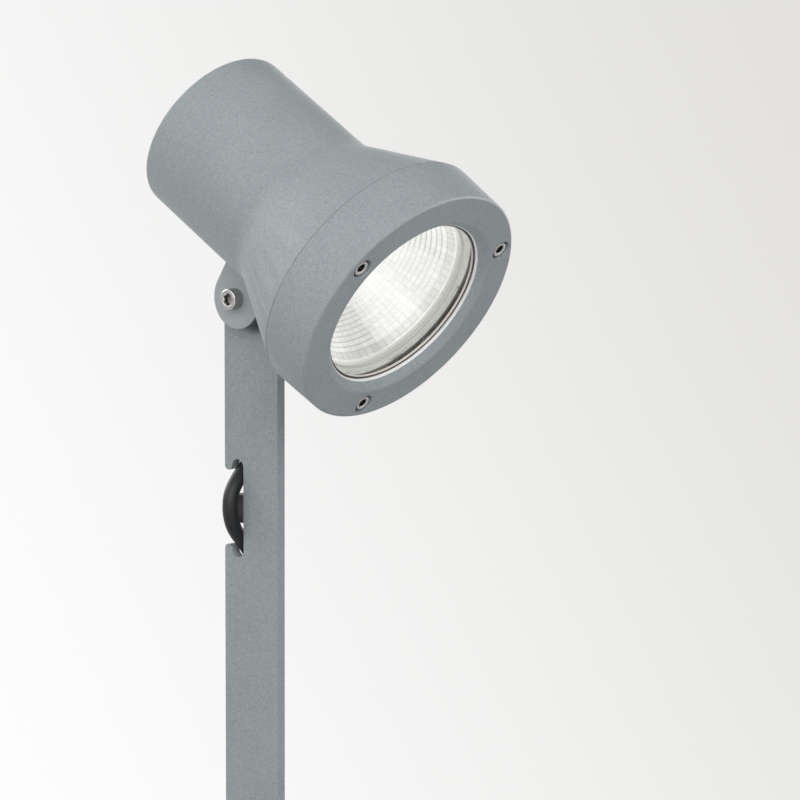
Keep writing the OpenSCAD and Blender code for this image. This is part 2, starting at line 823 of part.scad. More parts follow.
module lamp_driver() {
    color("white") on_head() translate([0, 0, head_rise]) difference() {
        union() {
            translate([driver_back, -driver_w / 4, tray_top]) cube([driver_len, driver_w / 2, ear_t]);
            translate([driver_back + ear_len, -driver_w / 2, tray_top])
                cube([driver_len - 2 * ear_len, driver_w, driver_h]);
        }
        driver_screw_places() translate([0, 0, tray_top - over])
            cylinder(r = small_r + set_clear, h = ear_t + 2 * over);
    }
}

module driver_screws() {
    color("silver") on_head() translate([0, 0, head_rise]) driver_screw_places()
        translate([0, 0, tray_top + ear_t])
        small_screw(driver_screw_len);
}

module terminal_block() {
    poles = 3;
    pitch = block_w / poles;
    top = tray_top - tray_t;
    color("ivory") on_head() translate([block_back, 0, head_rise]) difference() {
        translate([0, -block_w / 2, top - block_h]) cube([block_len, block_w, block_h]);
        for (i = [0:poles - 1]) translate([0, (i - 1) * pitch, 0]) {
            translate([block_len - wire_hole_depth, 0, top - block_h / 2]) rotate([0, 90, 0])
                cylinder(r = wire_r + set_clear, h = wire_hole_depth + over);
            translate([block_len / 4, 0, top - block_h - over])
                cylinder(r = pitch / 3, h = block_h / 3 + over);
        }
    }
}

// Wires inside the head, in the head's frame, each from the block's front end
function block_pole(i) = [
    block_back + block_len - wire_hole_depth / 2,
    (i - 1) * block_w / 3,
    head_rise + tray_top - tray_t - block_h / 2
];

// A line through straight runs, with each corner rounded and limited by the shorter run beside it
function corner(a, b, c) = let (
    reach = min(wire_bend, bend_share * min(norm(b - a), norm(c - b))),
    from = b + reach * unit(a - b),
    to = b + reach * unit(c - b)
) [
    for (i = [0:wire_bend_steps])
    let (t = i / wire_bend_steps)
    (1 - t) * (1 - t) * from + 2 * t * (1 - t) * b + t * t * to
];
function wire_line(points) = [
    points[0],
    for (i = [1:len(points) - 2]) each corner(points[i - 1], points[i], points[i + 1]),
    points[len(points) - 1]
];

module wire(points) {
    swept(wire_line(points), wire_r, wire_sides, wire_level);
}

module mains_cores() {
    color("saddlebrown") on_head() for (i = [0:2]) {
        spread = (1 - i) * wire_gap;
        sheath_end = gland_face + gland_thread_len + sheath_inside;
        start = [-gland_back + spread, gland_side, sheath_end + face_gap];
        wire([
            start, start + [0, 0, 3 * wire_gap],
            block_pole(i) + [wire_hole_depth + (2 - i) * wire_gap, wire_gap * 2, 0],
            block_pole(i) + [wire_hole_depth, 0, 0], block_pole(i)
        ]);
    }
}

module lamp_leads() {
    color("firebrick") on_head() translate([0, 0, head_rise]) for (side = [-1, 1]) {
        driver_end = driver_front - ear_len + face_gap;
        start = [driver_end, lead_start_side, tray_top + driver_h / 2] + side * lead_offset;
        beside_tray = [driver_front + 2 * wire_gap, lead_hole_side, tray_top + 2 * wire_gap];
        hole = [spreader_back, lead_hole_side, 0] + side * lead_offset;
        wire([
            start, start + [2 * wire_gap, 0, 0],
            beside_tray + side * lead_offset, hole - [wire_gap, 0, 0],
            [lamp_seat + wire_gap, hole[1], side * wire_gap / 2],
            [lamp_seat + wire_gap, holder_r + face_gap, side * wire_gap / 2]
        ]);
    }
}

// Cable gland, its axis pointing out of the boss
module at_gland() {
    on_head() translate([-gland_back, gland_side, gland_face]) rotate([180, 0, 0]) children();
}

module gland_body() {
    stem_h = gland_hex_h + gland_cap_h / 2;
    color("dimgray") at_gland() difference() {
        union() {
            translate([0, 0, -gland_thread_len])
                cylinder(r = gland_d / 2, h = gland_thread_len + gland_gasket_t + over);
            translate([0, 0, gland_gasket_t]) hexagon(gland_key, gland_hex_h);
            translate([0, 0, gland_gasket_t]) cylinder(r = gland_stub_r, h = stem_h);
        }
        translate([0, 0, -gland_thread_len - over])
            cylinder(r = cable_r + set_clear, h = gland_thread_len + gland_len);
    }
}

module gland_gasket() {
    color("black") at_gland() ring(gland_d / 2 + set_clear, gland_key / 2, 0, gland_gasket_t);
}

module gland_seal() {
    from = gland_gasket_t + gland_hex_h + gland_cap_h / 2;
    color("black") at_gland()
        ring(cable_r + face_gap, gland_stub_r - set_clear, from, gland_len - gland_lip_t);
}

module gland_cap() {
    corner_r = gland_key / sqrt(3);
    color("dimgray") at_gland() translate([0, 0, gland_gasket_t + gland_hex_h]) difference() {
        intersection() {
            hexagon(gland_key, gland_cap_h);
            rotate_extrude() polygon([
                [0, 0], [corner_r, 0], [corner_r, gland_cap_h / 2],
                [gland_key / 3, gland_cap_h], [0, gland_cap_h]
            ]);
        }
        translate([0, 0, -over])
            cylinder(r = gland_stub_r + run_clear, h = gland_cap_h - gland_lip_t + over);
        cylinder(r = cable_r + set_clear, h = gland_cap_h + over);
    }
}

// Cable
module cable_entry() {
    color("black") at_gland() translate([0, 0, -gland_thread_len - sheath_inside])
        cylinder(r = cable_r, h = gland_thread_len + sheath_inside + gland_len);
}

module cable_upper() {
    color("black") swept(cable_route, cable_r, tube_sides, [1, 0, 0], to = cable_cut);
}

module cable_lower() {
    color("black") swept(cable_route, cable_r, tube_sides, [1, 0, 0], from = cable_cut);
}

module cable_coil() {
    color("black") swept(coil_path, cable_r, coil_sides, [0, 0, 1]);
}

module cable_tail() {
    color("black") swept(tail_path, cable_r, tube_sides, [1, 0, 0]);
}

// Plug, its pins pointing along -Y
module at_plug() {
    translate(plug_entry) rotate([90, 0, 0]) children();
}

module plug_body() {
    color("black") at_plug() difference() {
        rotate_extrude() polygon([
            [0, 0], [cable_r * relief_share, 0], [cable_r * neck_share, relief_len],
            [plug_r * shoulder_share, relief_len * shoulder_place_share], [plug_r * waist_share, rim_start],
            [plug_r, rim_start + clip_t], [plug_r, plug_len - chamfer],
            [plug_r - chamfer, plug_len], [0, plug_len]
        ]);
        plug_pin_places() translate([0, 0, -pin_root]) cylinder(r = pin_root_r + run_clear, h = pin_len);
        for (side = [0, 180]) rotate([0, 0, side])
            translate([-clip_w / 2, plug_r - clip_depth, rim_start - over])
            cube([clip_w, clip_depth + over, plug_len - rim_start + 2 * over]);
    }
}

module plug_pin_places() {
    for (side = [-1, 1]) translate([side * pin_gap / 2, 0, plug_len]) children();
}

module plug_pins() {
    shank = pin_len - pin_d / 2;
    color("silver") at_plug() plug_pin_places() {
        translate([0, 0, -pin_root]) cylinder(r = pin_root_r, h = pin_root + over);
        cylinder(r = pin_d / 2, h = shank);
        translate([0, 0, shank]) intersection() {
            sphere(r = pin_d / 2);
            cylinder(r = pin_d, h = pin_d);
        }
    }
}

module plug_earth_clips() {
    color("silver") at_plug() for (side = [0, 180]) rotate([0, 0, side])
        translate([chamfer - clip_w / 2, plug_r - clip_depth, rim_start])
        cube([clip_w - 2 * chamfer, clip_t, plug_len - chamfer - rim_start]);
}

stem();
hinge_bolt();
hinge_washer();
hinge_nut();
housing();
bezel();
bezel_screws();
front_glass();
glass_seal();
reflector();
reflector_collar();
lamp_board();
lamp_holder();
holder_screws();
heat_pad();
heat_spreader();
spreader_screws();
driver_tray();
tray_screws();
lamp_driver();
driver_screws();
terminal_block();
lamp_leads();
mains_cores();
gland_body();
gland_gasket();
gland_seal();
gland_cap();
cable_entry();
cable_upper();
cable_lower();
cable_coil();
cable_tail();
plug_body();
plug_pins();
plug_earth_clips();
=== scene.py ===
import math

import bmesh
import bpy
from mathutils import Matrix, Vector


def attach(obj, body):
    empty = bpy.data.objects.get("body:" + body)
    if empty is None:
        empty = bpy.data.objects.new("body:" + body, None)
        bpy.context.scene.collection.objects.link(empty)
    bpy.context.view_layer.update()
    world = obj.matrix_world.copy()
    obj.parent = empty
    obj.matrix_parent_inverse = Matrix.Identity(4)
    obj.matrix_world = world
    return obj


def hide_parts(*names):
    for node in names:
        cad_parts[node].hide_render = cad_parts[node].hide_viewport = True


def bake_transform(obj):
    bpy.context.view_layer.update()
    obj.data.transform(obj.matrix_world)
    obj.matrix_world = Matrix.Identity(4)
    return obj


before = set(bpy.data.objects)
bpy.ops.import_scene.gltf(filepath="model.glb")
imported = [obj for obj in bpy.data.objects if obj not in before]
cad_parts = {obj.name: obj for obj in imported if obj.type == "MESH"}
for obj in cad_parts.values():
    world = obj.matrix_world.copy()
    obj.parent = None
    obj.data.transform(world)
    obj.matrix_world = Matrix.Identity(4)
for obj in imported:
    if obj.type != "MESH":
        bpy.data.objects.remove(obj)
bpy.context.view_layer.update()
MM = 0.001

# Camera, fitted to the photograph: its place and directions in the shared frame
CAM_PLACE = (1.04775, -1.09985, 0.72611)
CAM_RIGHT = Vector((0.75459705, 0.65617106, 0.00477738))
CAM_UP = Vector((-0.1001972, 0.10802561, 0.98908594))
CAM_BACK = Vector((0.64849349, -0.74684001, 0.14726231))
CAM_LENS = 143.488
CAM_SENSOR = 36
CAM_NEAR = 0.05
CAM_FAR = 60

camera = bpy.data.objects.new("camera", bpy.data.cameras.new("camera"))
camera.data.lens = CAM_LENS
camera.data.sensor_width = CAM_SENSOR
camera.data.clip_start = CAM_NEAR
camera.data.clip_end = CAM_FAR
turn = Matrix((CAM_RIGHT, CAM_UP, CAM_BACK)).transposed()
camera.matrix_world = Matrix.Translation(CAM_PLACE) @ turn.to_4x4()
bpy.context.scene.collection.objects.link(camera)
bpy.context.scene.camera = camera
bpy.context.scene.view_settings.view_transform = "Standard"

# Head frame: the hinge, the tilt at rest, and the head's axis with the place of its front face
HINGE_H = 550 * MM
TILT = math.radians(31.4)
HEAD_Y = -7.55 * MM
HEAD_RISE = 57.5 * MM
HEAD_TURN = Matrix.Translation((0, HEAD_Y, HINGE_H)) @ Matrix.Rotation(TILT, 4, "Y")
AXIS_FRAME = HEAD_TURN @ Matrix.Translation((0, 0, HEAD_RISE))
FRONT_FACE = 88 * MM
INTO_AXIS = AXIS_FRAME.inverted()
AXIS_WAY = AXIS_FRAME.to_3x3() @ Vector((1, 0, 0))


def on_axis(forward, radius, angle):
    """A point by its place along the head's axis, its radius and its angle round it."""
    return AXIS_FRAME @ Vector((forward, radius * math.sin(angle), -radius * math.cos(angle)))


def place_on_axis(point):
    """How far forward a point is on the head's axis, and its radius, in millimetres."""
    v = INTO_AXIS @ point
    return v.x / MM, math.hypot(v.y, v.z) / MM


# Meshes
SAME_POINT = 1e-6


def new_mesh(name, points, faces, smooth=True):
    """A new object in the scene, with its points in metres."""
    mesh = bpy.data.meshes.new(name)
    mesh.from_pydata([tuple(p) for p in points], [], faces)
    mesh.update()
    if smooth:
        mesh.polygons.foreach_set("use_smooth", [True] * len(mesh.polygons))
    piece = bpy.data.objects.new(name, mesh)
    bpy.context.scene.collection.objects.link(piece)
    return piece


def skin(first, rings, sides):
    """The faces between rings of points that follow each other, from a first point on."""
    faces = []
    for i in range(rings - 1):
        a, b = first + i * sides, first + (i + 1) * sides
        for k in range(sides):
            n = (k + 1) % sides
            faces.append((a + k, a + n, b + n, b + k))
    return faces


def tidy_normals(piece):
    """Joins doubled points and turns every face outwards."""
    edit = bmesh.new()
    edit.from_mesh(piece.data)
    bmesh.ops.remove_doubles(edit, verts=edit.verts, dist=SAME_POINT)
    bmesh.ops.recalc_face_normals(edit, faces=edit.faces)
    edit.to_mesh(piece.data)
    edit.free()


def tube(name, path, radius, sides):
    """A closed round tube whose rings keep their turn along the path."""
    points = []
    count = len(path)
    ways = [(path[min(i + 1, count - 1)] - path[max(i - 1, 0)]).normalized() for i in range(count)]
    side = ways[0].orthogonal().normalized()
    for place, way in zip(path, ways):
        side = (side - way * side.dot(way)).normalized()
        across = way.cross(side)
        for k in range(sides):
            a = 2 * math.pi * k / sides
            points.append(place + radius * (math.cos(a) * side + math.sin(a) * across))
    faces = skin(0, count, sides)
    faces.append(tuple(reversed(range(sides))))
    faces.append(tuple((count - 1) * sides + k for k in range(sides)))
    return new_mesh(name, points, faces)


# Cable: the route that the solids follow too. Lengths are in millimetres, but the cable's in metres
CABLE_D = 7.5
CABLE_START = Vector((-12, 26.5, 1.455))
UPPER_ROUTE = [
    (-15, 18.7, 547), (-16.6, 18.2, 540), (-17, 17.2, 531), (-16, 15.8, 520),
    (-14, 14.2, 508), (-11.6, 12.6, 496),
]
LOWER_ROUTE = [
    (-10.8, 11.9, 486), (-10, 11, 478.5), (-9.2, 8, 471), (-9, 2.6, 465), (-8.95, -3.1, 459.6),
    (-8.8, -7.1, 453.6), (-8.3, -8.5, 446.5), (-8.1, -7.3, 440), (-8.8, -3.4, 434.4),
    (-9, 2.4, 428.4), (-9.5, 7.4, 421.6), (-9.8, 10, 412), (-9.2, 11, 396), (-9, 11, 370),
    (-9, 11, 335), (-9, 11, 295), (-9, 11, 255), (-9, 11, 215), (-9, 11, 175),
    (-9, 11.3, 135), (-9.3, 12.4, 100), (-10, 15.5, 70), (-11.6, 23, 46), (-13.6, 36, 27),
    (-15.6, 50, 15), (-17.6, 62, 8.6), (-19, 71, 4.5),
]
TAIL_ROUTE = [(77.6, 79, 12.3), (77.2, 69, 13.6), (77.2, 59, 15.6), (77.6, 50, 17.8)]
COIL_CENTRE = Vector((29, 100, 0))
COIL_R = 49
COIL_TURNS = 5.5
TURN_STEP = 8.1
PLUG_ENTRY = Vector((78, 34, 19))
LAYER_CHANGE = 0.5
COIL_RINGS = 48
ROUTE_STEPS = 6
CABLE_SIDES = 24


def between(a, b, c, d, t):
    """The point at a share t of a smooth curve from b to c that comes from a and goes on to d."""
    return (
        2 * b + (c - a) * t + (2 * a - 5 * b + 4 * c - d) * t * t + (3 * b - a - 3 * c + d) * t ** 3
    ) / 2


def smooth_route(points, steps):
    """A smooth curve through the points, with the same number of steps between each two."""
    last = len(points) - 1
    route = []
    for i in range(last):
        four = [points[max(i - 1, 0)], points[i], points[i + 1], points[min(i + 2, last)]]
        route += [between(*four, s / steps) for s in range(steps)]
    return route + [points[last]]


def ease(t):
    """Goes from 0 to 1 as t does, with a soft start and a soft end."""
    s = min(max(t, 0), 1)
    return s * s * (3 - 2 * s)


def coil_point(turns):
    """A point of the coil, which winds inwards in its lower layer and outwards in its upper one."""
    middle = COIL_TURNS / 2
    r = COIL_R - TURN_STEP * (middle - abs(turns - middle))
    height = CABLE_D / 2 + TURN_STEP * ease((turns - middle) / LAYER_CHANGE + 0.5)
    a = math.pi - 2 * math.pi * turns
    return COIL_CENTRE + Vector((r * math.cos(a), r * math.sin(a), height))


def cable_centreline():
    """The cable's route from the gland through the slot, down the bar and the coil to the plug."""
    start = HEAD_TURN @ (CABLE_START * MM) / MM
    way = Vector((-math.sin(TILT), 0, -math.cos(TILT)))
    lead = Vector((0, CABLE_D, 0))
    first, last = coil_point(0), coil_point(COIL_TURNS)
    down = [start, start + CABLE_D / 2 * way, start + CABLE_D * way]
    down += [Vector(p) for p in UPPER_ROUTE + LOWER_ROUTE]
    down += [first - 3 * lead, first - 2 * lead, first - lead]
    rings = round(COIL_TURNS * COIL_RINGS)
    coil = [coil_point(i / COIL_RINGS) for i in range(rings + 1)]
    tail = [last - lead, last - 1.5 * lead, last - 2 * lead, *map(Vector, TAIL_ROUTE)]
    tail += [PLUG_ENTRY + lead, PLUG_ENTRY + lead / 2, PLUG_ENTRY]
    route = smooth_route(down, ROUTE_STEPS) + coil + smooth_route(tail, ROUTE_STEPS)
    return [p * MM for p in route]


cable_path = cable_centreline()
cable = tube("cable", cable_path, CABLE_D / 2 * MM, CABLE_SIDES)
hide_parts("cable_upper", "cable_lower", "cable_coil", "cable_tail")
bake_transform(cable)


# Materials
class Nodes:
    """A small helper that adds and links shader nodes."""

    def __init__(self, name):
        self.material = bpy.data.materials.new(name)
        self.material.use_nodes = True
        self.tree = self.material.node_tree
        self.shader = self.tree.nodes["Principled BSDF"]
        self.out = self.tree.nodes["Material Output"]

    def add(self, kind, **values):
        """A new node. Each value goes to the input of its name, or else to the setting."""
        node = self.tree.nodes.new(kind)
        for key, value in values.items():
            if key in node.inputs:
                node.inputs[key].default_value = value
            else:
                setattr(node, key, value)
        return node

    def link(self, source, target):
        self.tree.links.new(source, target)

    def math(self, operation, a, b=0.0):
        """A sum with one or two values, each a number or a socket."""
        node = self.add("ShaderNodeMath", operation=operation)
        for socket, value in zip(node.inputs, (a, b)):
            if isinstance(value, (int, float)):
                socket.default_value = value
            else:
                self.link(value, socket)
        return node.outputs[0]

    def place(self):
        """The place on the piece, in the shared frame with the head at rest."""
        return self.add("ShaderNodeTexCoord").outputs["Object"]

    def parts(self):
        """The place's three numbers."""
        split = self.add("ShaderNodeSeparateXYZ")
        self.link(self.place(), split.inputs[0])
        return split.outputs

    def noise(self, size, detail=2.0, stretch=None):
        """Noise whose lumps are about size metres across."""
        node = self.add("ShaderNodeTexNoise", Scale=1 / size, Detail=detail)
        source = self.place()
        if stretch:
            mapping = self.add("ShaderNodeMapping", Scale=stretch)
            self.link(source, mapping.inputs["Vector"])
            source = mapping.outputs["Vector"]
        self.link(source, node.inputs["Vector"])
        return node.outputs["Fac"]

    def ramp(self, source, stops):
        """A colour that changes as the source does, with stops of a place and a colour."""
        node = self.add("ShaderNodeValToRGB")
        bar = node.color_ramp
        bar.elements[0].position, bar.elements[1].position = stops[0][0], stops[-1][0]
        bar.elements[0].color, bar.elements[1].color = (*stops[0][1], 1), (*stops[-1][1], 1)
        for at, colour in stops[1:-1]:
            bar.elements.new(at).color = (*colour, 1)
        self.link(source, node.inputs["Fac"])
        return node.outputs["Color"]

    def span(self, source, low, high, start=0.3, end=0.7):
        """A number that runs from low to high as source goes from start to end, by default over
        the middle of a noise."""
        node = self.add("ShaderNodeMapRange")
        limits = {"From Min": start, "From Max": end, "To Min": low, "To Max": high}
        for key, value in limits.items():
            node.inputs[key].default_value = value
        self.link(source, node.inputs["Value"])
        return node.outputs["Result"]

    def bump(self, source, height, below=None):
        """Bumps of a height in metres, laid over others where there are some below."""
        node = self.add("ShaderNodeBump", Distance=height)
        self.link(source, node.inputs["Height"])
        if below:
            self.link(below, node.inputs["Normal"])
        return node.outputs["Normal"]

    def forward(self):
        """The distance along the way of the head's axis, in metres."""
        dot = self.add("ShaderNodeVectorMath", operation="DOT_PRODUCT")
        self.link(self.place(), dot.inputs[0])
        dot.inputs[1].default_value = AXIS_WAY
        return dot.outputs["Value"]

    def radius(self):
        """The distance from the head's axis, in metres."""
        away = self.add("ShaderNodeVectorMath", operation="SUBTRACT")
        self.link(self.place(), away.inputs[0])
        away.inputs[1].default_value = AXIS_FRAME.translation
        cross = self.add("ShaderNodeVectorMath", operation="CROSS_PRODUCT")
        self.link(away.outputs[0], cross.inputs[0])
        cross.inputs[1].default_value = AXIS_WAY
        length = self.add("ShaderNodeVectorMath", operation="LENGTH")
        self.link(cross.outputs[0], length.inputs[0])
        return length.outputs["Value"]


PATCH_GRAINS = 60


def speckle(name, dark, light, rough, grain, height, specular=0.5):
    """A plain surface with fine grains in its colour, gloss and height, and broad patches in its
    colour."""
    n = Nodes(name)
    fine = n.noise(grain)
    broad = n.noise(grain * PATCH_GRAINS)
    mix = n.math("ADD", n.math("MULTIPLY", broad, 0.35), fine)
    shades = n.ramp(n.span(mix, 0, 1, 0.5, 0.85), [(0, dark), (1, light)])
    n.link(shades, n.shader.inputs["Base Color"])
    n.link(n.span(fine, rough + 0.05, rough - 0.05), n.shader.inputs["Roughness"])
    n.shader.inputs["Specular IOR Level"].default_value = specular
    n.link(n.bump(fine, height), n.shader.inputs["Normal"])
    return n.material


def box_share(n, low, high, soft):
    """1 inside a box given by two corners in millimetres, and 0 outside it, over a soft edge."""
    share = 1
    for value, start, end in zip(n.parts(), low, high):
        share = n.math("MULTIPLY", share, n.span(value, 0, 1, (start - soft) * MM, start * MM))
        share = n.math("MULTIPLY", share, n.span(value, 1, 0, end * MM, (end + soft) * MM))
    return share


def mixed(n, share, colour, other):
    """The colour, turned into the other one by a share."""
    blend = n.add("ShaderNodeMix", data_type="RGBA")
    n.link(share, blend.inputs[0])
    for value, socket in ((colour, blend.inputs[6]), (other, blend.inputs[7])):
        if isinstance(value, tuple):
            socket.default_value = (*value, 1)
        else:
            n.link(value, socket)
    return blend.outputs[2]


# Places with painted shade or painted highlights: the corners of boxes in millimetres, and
# distances in metres
# The slot's tongue, which has painted shade behind the cable
TONGUE = (-13, -9, 439), (-5.3, 9, 453.1)
# The lug's face, with painted light, and its edge beside the bar, with painted shade
LUG_FACE_LIGHT = (-20, -14, 530), (18, -12.45, 574)
LUG_EDGE_SHADE = (4, -11.7, 530), (18, -2, 549)
# Painted shade on the bar round the lug
LUG_SHADE_START = 15.3 * MM
LUG_SHADE_END = 18.8 * MM
LUG_SHADE_SIDE = 6 * MM
# The bezel's painted highlights: the opening's edge and the rounded outer edge
OPENING_EDGE = 43.7 * MM, 43.95 * MM
ROUNDED_START = 60.9 * MM, 61.3 * MM
ROUNDED_END = 61.75 * MM, 61.95 * MM
HIGHLIGHT_HEIGHT = 40 * MM
HIGHLIGHT_FAR = -45 * MM, 5 * MM


def bar_painted_shade(n, colour):
    """Painted shade: dark in streaks on the slot's tongue, which lies behind the cable, and on the
    bar close round the lug, the most on the head's side."""
    streaks = n.noise(0.9 * MM, 2.0, (1, 1, 0.12))
    tongue_shade = n.ramp(streaks, [(0.42, (0.035, 0.036, 0.038)), (0.6, (0.075, 0.077, 0.08))])
    # Painted shade on the tongue behind the cable
    colour = mixed(n, box_share(n, *TONGUE, 0.4), colour, tongue_shade)
    # Painted shade on the bar close round the lug
    away = n.add("ShaderNodeVectorMath", operation="MULTIPLY_ADD")
    n.link(n.place(), away.inputs[0])
    away.inputs[1].default_value = (1, 0, 1)
    away.inputs[2].default_value = (0, 0, -HINGE_H)
    length = n.add("ShaderNodeVectorMath", operation="LENGTH")
    n.link(away.outputs[0], length.inputs[0])
    near = n.span(length.outputs["Value"], 0.95, 0, LUG_SHADE_START, LUG_SHADE_END)
    side = n.span(n.parts()["X"], 0.2, 1, -LUG_SHADE_SIDE, LUG_SHADE_SIDE)
    return mixed(n, n.math("MULTIPLY", near, side), colour, (0.03, 0.032, 0.034))


def lug_painted_light_and_shade(n, colour):
    """Painted light, a little paler, on the lug's outer face, and painted shade on its edge beside
    the bar.
    """
    # Painted light on the lug's face, then painted shade on its edge
    colour = mixed(n, box_share(n, *LUG_FACE_LIGHT, 0.1), colour, (0.375, 0.412, 0.425))
    return mixed(n, box_share(n, *LUG_EDGE_SHADE, 0.3), colour, (0.07, 0.074, 0.078))


def rim_painted_highlights(n, colour):
    """Painted highlights: near white on the last of the opening's edge, and paler on the upper far
    part of the rounded outer edge."""
    _, y, z = n.parts()
    centre = (AXIS_FRAME @ Vector((FRONT_FACE, 0, 0))).z
    upper = n.span(z, 0, 0.85, centre, centre + HIGHLIGHT_HEIGHT)
    far = n.span(y, 0, 1, *HIGHLIGHT_FAR)
    # Painted highlight on the upper far part of the rounded outer edge
    edge = n.math("MULTIPLY", n.span(n.radius(), 0, 1, *ROUNDED_START), upper)
    edge = n.math("MULTIPLY", edge, n.span(n.radius(), 1, 0, *ROUNDED_END))
    colour = mixed(n, n.math("MULTIPLY", edge, far), colour, (0.56, 0.60, 0.61))
    # Near-white painted highlight on the opening's edge
    return mixed(n, n.span(n.radius(), 1, 0, *OPENING_EDGE), colour, (0.86, 0.86, 0.85))


PAINT_TONES = [(0, (0.256, 0.289, 0.301)), (0.5, (0.300, 0.335, 0.348)), (1, (0.352, 0.389, 0.403))]
PAINT_GRAIN = 0.75 * MM
PAINT_PEEL = 1.6 * MM
PAINT_PATCH = 38 * MM


def powder_coat(name, change):
    """Grey powder coat: fine grains, a soft unevenness over some centimetres and a low orange peel.
    The change is a function that paints shade or highlights into its colour at some places."""
    n = Nodes(name)
    fine = n.noise(PAINT_GRAIN, 3.0)
    peel = n.noise(PAINT_PEEL)
    broad = n.noise(PAINT_PATCH)
    mix = n.math("ADD", n.math("MULTIPLY", broad, 0.3), n.math("MULTIPLY", peel, 0.3))
    mix = n.math("ADD", mix, fine)
    colour = change(n, n.ramp(n.span(mix, 0, 1, 0.58, 1.02), PAINT_TONES))
    n.link(colour, n.shader.inputs["Base Color"])
    n.link(n.span(peel, 0.6, 0.48), n.shader.inputs["Roughness"])
    n.shader.inputs["Specular IOR Level"].default_value = 0.35
    low = n.bump(peel, 0.06 * MM)
    n.link(n.bump(fine, 0.045 * MM, low), n.shader.inputs["Normal"])
    return n.material


def steel(name, colour, rough, scratch):
    """Machined metal with fine marks in its gloss and height, and a soft smear in its colour."""
    n = Nodes(name)
    marks = n.noise(scratch, 3.0)
    smear = n.noise(scratch * 12)
    tones = [(0.3, tuple(c * 0.82 for c in colour)), (0.75, colour)]
    n.link(n.ramp(smear, tones), n.shader.inputs["Base Color"])
    n.link(n.span(marks, rough + 0.1, rough - 0.06), n.shader.inputs["Roughness"])
    n.shader.inputs["Metallic"].default_value = 1.0
    n.link(n.bump(marks, 0.01 * MM), n.shader.inputs["Normal"])
    return n.material


bar_paint = powder_coat("bar_powder_coat", bar_painted_shade)
housing_paint = powder_coat("housing_powder_coat", lug_painted_light_and_shade)
bezel_paint = powder_coat("bezel_powder_coat", rim_painted_highlights)
stainless = steel("stainless_steel", (0.66, 0.65, 0.63), 0.22, 0.25 * MM)
# Darker copies of the stainless for the screws: painted shade; the duller one is also rougher
dull_shaded_steel = steel("dull_shaded_steel", (0.50, 0.50, 0.49), 0.42, 0.2 * MM)
painted_shade_steel = steel("painted_shade_steel", (0.19, 0.185, 0.18), 0.3, 0.2 * MM)
bare_aluminium = steel("bare_aluminium", (0.78, 0.79, 0.80), 0.38, 0.4 * MM)
rubber = speckle(
    "black_rubber", (0.006, 0.007, 0.008), (0.014, 0.015, 0.017), 0.4, 0.6 * MM, 0.03 * MM, 0.34
)
dark_plastic = speckle(
    "dark_plastic", (0.018, 0.019, 0.02), (0.03, 0.031, 0.033), 0.4, 0.3 * MM, 0.03 * MM
)
white_plastic = speckle(
    "white_plastic", (0.72, 0.72, 0.69), (0.80, 0.80, 0.78), 0.45, 0.6 * MM, 0.02 * MM
)
seal_rubber = speckle(
    "seal_rubber", (0.030, 0.029, 0.027), (0.055, 0.052, 0.048), 0.42, 0.3 * MM, 0.03 * MM
)
seal_lip = speckle("seal_lip", (0.50, 0.46, 0.41), (0.62, 0.58, 0.52), 0.5, 0.4 * MM, 0.02 * MM)
heat_pad_pink = speckle(
    "heat_pad", (0.50, 0.30, 0.32), (0.58, 0.36, 0.38), 0.6, 0.4 * MM, 0.02 * MM
)
wire_red = speckle("wire_red", (0.38, 0.03, 0.02), (0.46, 0.05, 0.03), 0.35, 0.5 * MM, 0.01 * MM)
wire_brown = speckle(
    "wire_brown", (0.14, 0.06, 0.03), (0.20, 0.09, 0.05), 0.35, 0.5 * MM, 0.01 * MM
)
# Near-white painted highlight for the opening's lip wall, lit by the lamp
lip_painted_highlight = speckle("lip_painted_highlight", (0.82, 0.82, 0.80), (0.90, 0.90, 0.88), 0.3, 0.3 * MM, 0.01 * MM)

COLLAR_TONES = [(0, (0.235, 0.232, 0.22)), (0.5, (0.275, 0.271, 0.257)), (1, (0.315, 0.31, 0.294))]
LINE_PITCH = 1.25 * MM
FINE_LINE_PITCH = 0.46 * MM
# Where the collar's painted glow rises, and where the pocket's painted shade starts
GLOW_RISE_R = 41.1 * MM, 41.3 * MM
POCKET_SHADE_R = 45.2 * MM, 45.6 * MM


def collar_painted_glow_and_shade():
    """Pale satin plastic with fine turned lines round it. It glows, as painted light from the lit
    bowl, more so further out, and has painted shade where the seal's pocket holds the glass's edge."""
    n = Nodes("collar_plastic")
    lines = n.math("SINE", n.math("MULTIPLY", n.forward(), 2 * math.pi / LINE_PITCH))
    fine = n.math("SINE", n.math("MULTIPLY", n.forward(), 2 * math.pi / FINE_LINE_PITCH))
    mix = n.math("ADD", lines, n.math("MULTIPLY", fine, 0.5))
    mix = n.math("ADD", mix, n.noise(6 * MM))
    pale = n.ramp(n.span(mix, 0, 1, -1.2, 2.2), COLLAR_TONES)
    # Painted shade in the seal's pocket, round the glass's edge
    colour = mixed(n, n.span(n.radius(), 0, 1, *POCKET_SHADE_R), pale, (0.05, 0.048, 0.044))
    n.link(colour, n.shader.inputs["Base Color"])
    # Painted glow from the lit bowl, rising further out
    n.link(colour, n.shader.inputs["Emission Color"])
    strength = n.span(n.radius(), 1.25, 1.85, *GLOW_RISE_R)
    n.link(strength, n.shader.inputs["Emission Strength"])
    n.link(n.span(n.noise(2 * MM), 0.36, 0.28), n.shader.inputs["Roughness"])
    n.link(n.bump(mix, 0.02 * MM), n.shader.inputs["Normal"])
    return n.material


collar_plastic = collar_painted_glow_and_shade()


